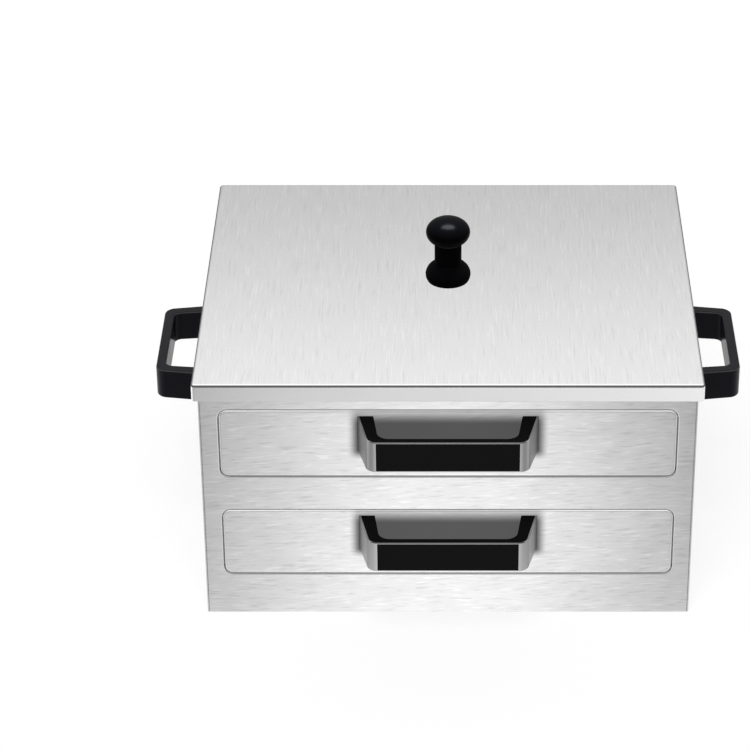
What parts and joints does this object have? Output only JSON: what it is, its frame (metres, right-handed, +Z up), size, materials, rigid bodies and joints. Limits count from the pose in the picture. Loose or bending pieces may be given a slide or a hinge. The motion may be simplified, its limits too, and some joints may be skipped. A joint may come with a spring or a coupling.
{
  "type": "rice noodle roll steamer",
  "caption": "Rectangular stainless steel cabinet with a water pan, pull-out steaming trays, a lift-off lid with a black knob, and black side handles.",
  "frame": {"origin": "centre of the cabinet's flat underside", "axes": "+Z up, drawers pull out towards -Y, side handles on the X axis"},
  "size_m": [0.481, 0.3815, 0.273],
  "materials": {
    "cabinet_steel": "stainless steel, brushed along its width",
    "drawer_steel": "stainless steel, brushed along its width",
    "lid_steel": "stainless steel, brushed from back to front",
    "pan_steel": "stainless steel, mill finish",
    "tray_steel": "stainless steel, smooth inside",
    "runner_steel": "stainless steel, mill finish",
    "screw_steel": "stainless steel, turned",
    "bakelite": "black phenolic moulding, semi-gloss",
    "grip_black": "black moulding",
    "grip_gloss": "black gloss inlay",
    "grip_satin": "satin silver strip",
    "brass": "machined"
  },
  "bodies": {
    "cabinet": {"front_panel": "cabinet_steel", "body_wrap": "cabinet_steel", "top_rim": "cabinet_steel", "water_pan": "pan_steel", "left_handle": "bakelite", "left_handle_plate": "runner_steel", "left_handle_screws": "screw_steel", "left_handle_inserts": "brass", "right_handle": "bakelite", "right_handle_plate": "runner_steel", "right_handle_screws": "screw_steel", "right_handle_inserts": "brass", "lower_left_runner": "runner_steel", "lower_right_runner": "runner_steel", "upper_left_runner": "runner_steel", "upper_right_runner": "runner_steel"},
    "lid": {"lid_panel": "lid_steel", "lid_knob": "bakelite", "knob_washer": "screw_steel", "knob_screw": "screw_steel", "knob_insert": "brass"},
    "lower_drawer": {"lower_drawer_front": "drawer_steel", "lower_drawer_backing": "pan_steel", "lower_tray": "tray_steel", "lower_grip_core": "grip_black", "lower_grip_band": "grip_satin", "lower_grip_inlay": "grip_gloss", "lower_grip_screws": "screw_steel", "lower_grip_inserts": "brass"},
    "upper_drawer": {"upper_drawer_front": "drawer_steel", "upper_drawer_backing": "pan_steel", "upper_tray": "tray_steel", "upper_grip_core": "grip_black", "upper_grip_band": "grip_satin", "upper_grip_inlay": "grip_gloss", "upper_grip_screws": "screw_steel", "upper_grip_inserts": "brass"}
  },
  "joints": [
    {"name": "lid_lift", "type": "slide", "parent": "cabinet", "child": "lid", "axis": [0, 0, 1], "range_m": [0, 0.08]},
    {"name": "upper_drawer_slide", "type": "slide", "parent": "cabinet", "child": "upper_drawer", "axis": [0, -1, 0], "range_m": [0, 0.25]},
    {"name": "lower_drawer_slide", "type": "slide", "parent": "cabinet", "child": "lower_drawer", "axis": [0, -1, 0], "range_m": [0, 0.25]}
  ]
}
